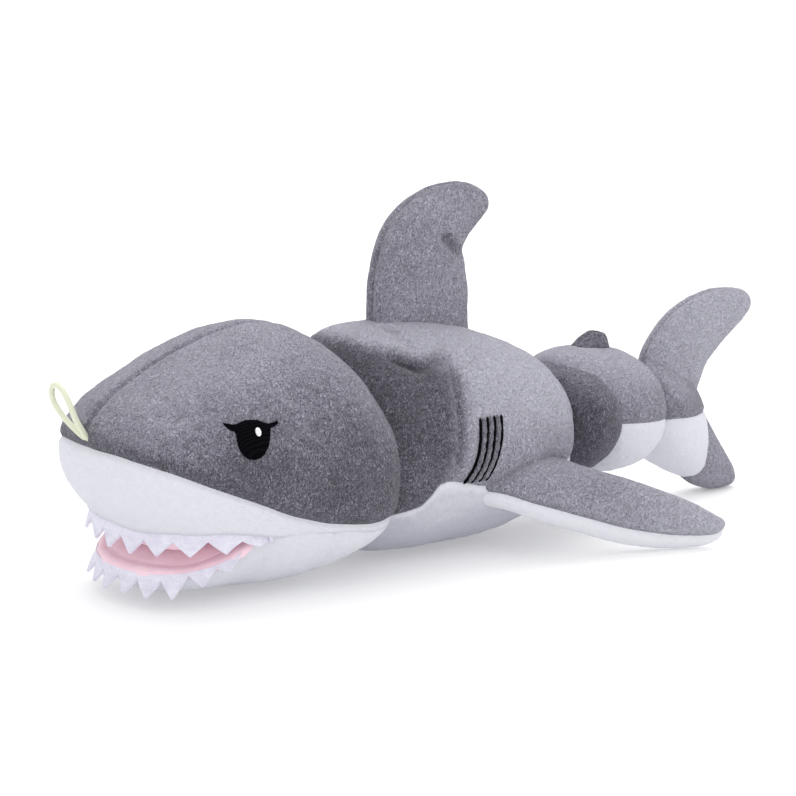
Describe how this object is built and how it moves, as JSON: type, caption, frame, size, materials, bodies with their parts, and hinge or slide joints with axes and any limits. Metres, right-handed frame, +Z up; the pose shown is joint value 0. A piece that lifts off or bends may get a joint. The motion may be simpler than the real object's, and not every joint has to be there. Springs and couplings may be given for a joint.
{
  "type": "plush shark",
  "caption": "Stuffed plush shark with an open, felt-toothed mouth, dorsal and side fins, a jointed soft tail, a hanging loop and an inner squeaker.",
  "frame": {"origin": "centre of the body's footprint box, on the surface that the toy lies on", "axes": "+X from nose to tail, +Y to the shark's right, +Z up"},
  "size_m": [0.365, 0.1678, 0.1545],
  "materials": {
    "grey_plush": "short velvety pile",
    "white_plush": "short velvety pile",
    "mouth_lining": "smooth satin-backed knit",
    "tooth_felt": "pressed felt",
    "black_thread": "embroidery thread with a low sheen",
    "white_thread": "embroidery thread with a low sheen",
    "loop_cord": "round braided cord",
    "fibre_filling": "loose polyester fibre",
    "squeaker_plastic": "moulded soft plastic"
  },
  "bodies": {
    "torso": {"back_panel": "grey_plush", "belly_panel": "white_plush", "torso_stuffing": "fibre_filling", "gill_stitches_left": "black_thread", "gill_stitches_right": "black_thread", "squeaker_base": "squeaker_plastic", "squeaker_reed": "squeaker_plastic"},
    "head": {"head_panel_left": "grey_plush", "head_panel_right": "grey_plush", "muzzle_panel": "white_plush", "throat_panel": "white_plush", "palate_lining": "mouth_lining", "upper_teeth": "tooth_felt", "eye_left": "black_thread", "eye_right": "black_thread", "eye_glint_left": "white_thread", "eye_glint_right": "white_thread", "head_stuffing": "fibre_filling", "hang_loop": "loop_cord"},
    "jaw": {"chin_panel": "white_plush", "jaw_lining": "mouth_lining", "lower_teeth": "tooth_felt", "jaw_stuffing": "fibre_filling"},
    "squeaker": {"squeaker_dome": "squeaker_plastic"},
    "dorsal_fin": {"dorsal_fin_left": "grey_plush", "dorsal_fin_right": "grey_plush", "dorsal_fin_stuffing": "fibre_filling"},
    "rear_fin": {"rear_fin_left": "grey_plush", "rear_fin_right": "grey_plush", "rear_fin_stuffing": "fibre_filling"},
    "side_fin_left": {"side_fin_left_top": "grey_plush", "side_fin_left_underside": "white_plush", "side_fin_left_stuffing": "fibre_filling"},
    "side_fin_right": {"side_fin_right_top": "grey_plush", "side_fin_right_underside": "white_plush", "side_fin_right_stuffing": "fibre_filling"},
    "tail_ring": {"tail_ring_panel": "grey_plush", "tail_ring_stuffing": "fibre_filling"},
    "tail": {"tail_back_panel": "grey_plush", "tail_belly_panel": "white_plush", "tail_stuffing": "fibre_filling"},
    "tail_end": {"tail_base_panel": "grey_plush", "tail_base_belly": "white_plush", "tail_base_stuffing": "fibre_filling", "upper_lobe_left": "grey_plush", "upper_lobe_right": "grey_plush", "upper_lobe_stuffing": "fibre_filling", "lower_lobe_left": "grey_plush", "lower_lobe_right": "grey_plush", "lower_lobe_stuffing": "fibre_filling"}
  },
  "joints": [
    {"name": "head_turn", "type": "hinge", "parent": "torso", "child": "head", "pos_m": [-0.061, 0, 0.052], "axis": [0, 0, 1], "range_deg": [-12, 12], "stiffness_Nm_per_rad": 0.5},
    {"name": "mouth_gape", "type": "hinge", "parent": "head", "child": "jaw", "pos_m": [-0.106, 0, 0.024], "axis": [0, -1, 0], "range_deg": [-6, 8], "stiffness_Nm_per_rad": 0.4},
    {"name": "dorsal_fin_flop", "type": "hinge", "parent": "torso", "child": "dorsal_fin", "pos_m": [-0.041, 0, 0.103], "axis": [0.9954, 0, -0.0953], "range_deg": [-25, 25], "stiffness_Nm_per_rad": 0.04},
    {"name": "rear_fin_flop", "type": "hinge", "parent": "tail", "child": "rear_fin", "pos_m": [0.076, 0, 0.0808], "axis": [0.9989, 0, -0.047], "range_deg": [-25, 25], "stiffness_Nm_per_rad": 0.01},
    {"name": "side_fin_left_flap", "type": "hinge", "parent": "torso", "child": "side_fin_left", "pos_m": [-0.012, -0.0508, 0.03], "axis": [-0.9822, -0.0265, -0.1858], "range_deg": [-2, 30], "stiffness_Nm_per_rad": 0.1},
    {"name": "side_fin_right_flap", "type": "hinge", "parent": "torso", "child": "side_fin_right", "pos_m": [-0.012, 0.0508, 0.03], "axis": [0.9822, -0.0265, 0.1858], "range_deg": [-2, 30], "stiffness_Nm_per_rad": 0.1},
    {"name": "tail_root_swing", "type": "hinge", "parent": "torso", "child": "tail_ring", "pos_m": [0.051, 0, 0.046], "axis": [0, 0, 1], "range_deg": [-8, 8], "stiffness_Nm_per_rad": 0.5},
    {"name": "tail_lift", "type": "hinge", "parent": "tail_ring", "child": "tail", "pos_m": [0.072, 0, 0.048], "axis": [0, -1, 0], "range_deg": [-4, 8], "stiffness_Nm_per_rad": 0.5},
    {"name": "tail_end_swing", "type": "hinge", "parent": "tail", "child": "tail_end", "pos_m": [0.108, 0, 0.045], "axis": [0, 0, 1], "range_deg": [-14, 14], "stiffness_Nm_per_rad": 0.2},
    {"name": "squeaker_squeeze", "type": "slide", "parent": "torso", "child": "squeaker", "axis": [0, 0, -1], "range_m": [0, 0.006], "stiffness_N_per_m": 300}
  ]
}
